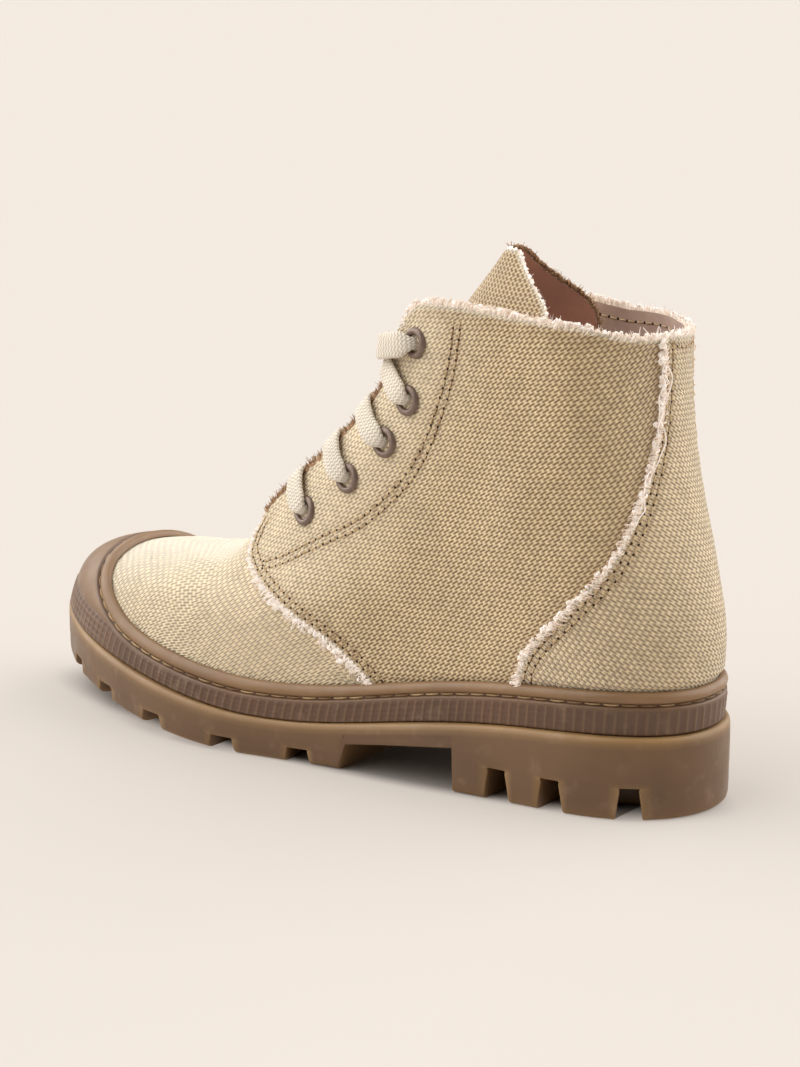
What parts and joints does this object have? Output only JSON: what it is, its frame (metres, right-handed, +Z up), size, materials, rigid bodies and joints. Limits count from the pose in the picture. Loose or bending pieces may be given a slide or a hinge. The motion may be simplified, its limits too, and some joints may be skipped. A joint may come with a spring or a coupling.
{
  "type": "canvas ankle boot",
  "caption": "Left lace-up canvas ankle boot with frayed raw edges, standing empty on a lugged rubber sole with a ribbed, stitched rand and a moulded rubber toe cap.",
  "frame": {"origin": "middle of the footprint's bounding box, on the floor plane", "axes": "+X from heel to toe, +Y to the outer (little toe) side of the left foot, +Z up"},
  "size_m": [0.285, 0.0972, 0.181],
  "materials": {
    "canvas": "coarse plain weave, matte, sand colour",
    "tongue_canvas": "coarse plain weave, matte, sand colour",
    "gum_rubber": "satin brown gum",
    "rand_rubber": "satin brown gum",
    "footbed": "matte brown cloth",
    "eyelet_enamel": "satin brown enamel",
    "lace_cotton": "flat woven cotton, matte cream"
  },
  "bodies": {
    "root": {"outsole": "gum_rubber", "rand": "rand_rubber", "upper": "canvas", "tongue": "tongue_canvas", "insole": "footbed", "lace": "lace_cotton", "eyelet_01": "eyelet_enamel", "eyelet_02": "eyelet_enamel", "eyelet_03": "eyelet_enamel", "eyelet_04": "eyelet_enamel", "eyelet_05": "eyelet_enamel", "eyelet_06": "eyelet_enamel", "eyelet_07": "eyelet_enamel", "eyelet_08": "eyelet_enamel", "eyelet_09": "eyelet_enamel", "eyelet_10": "eyelet_enamel"}
  },
  "joints": []
}
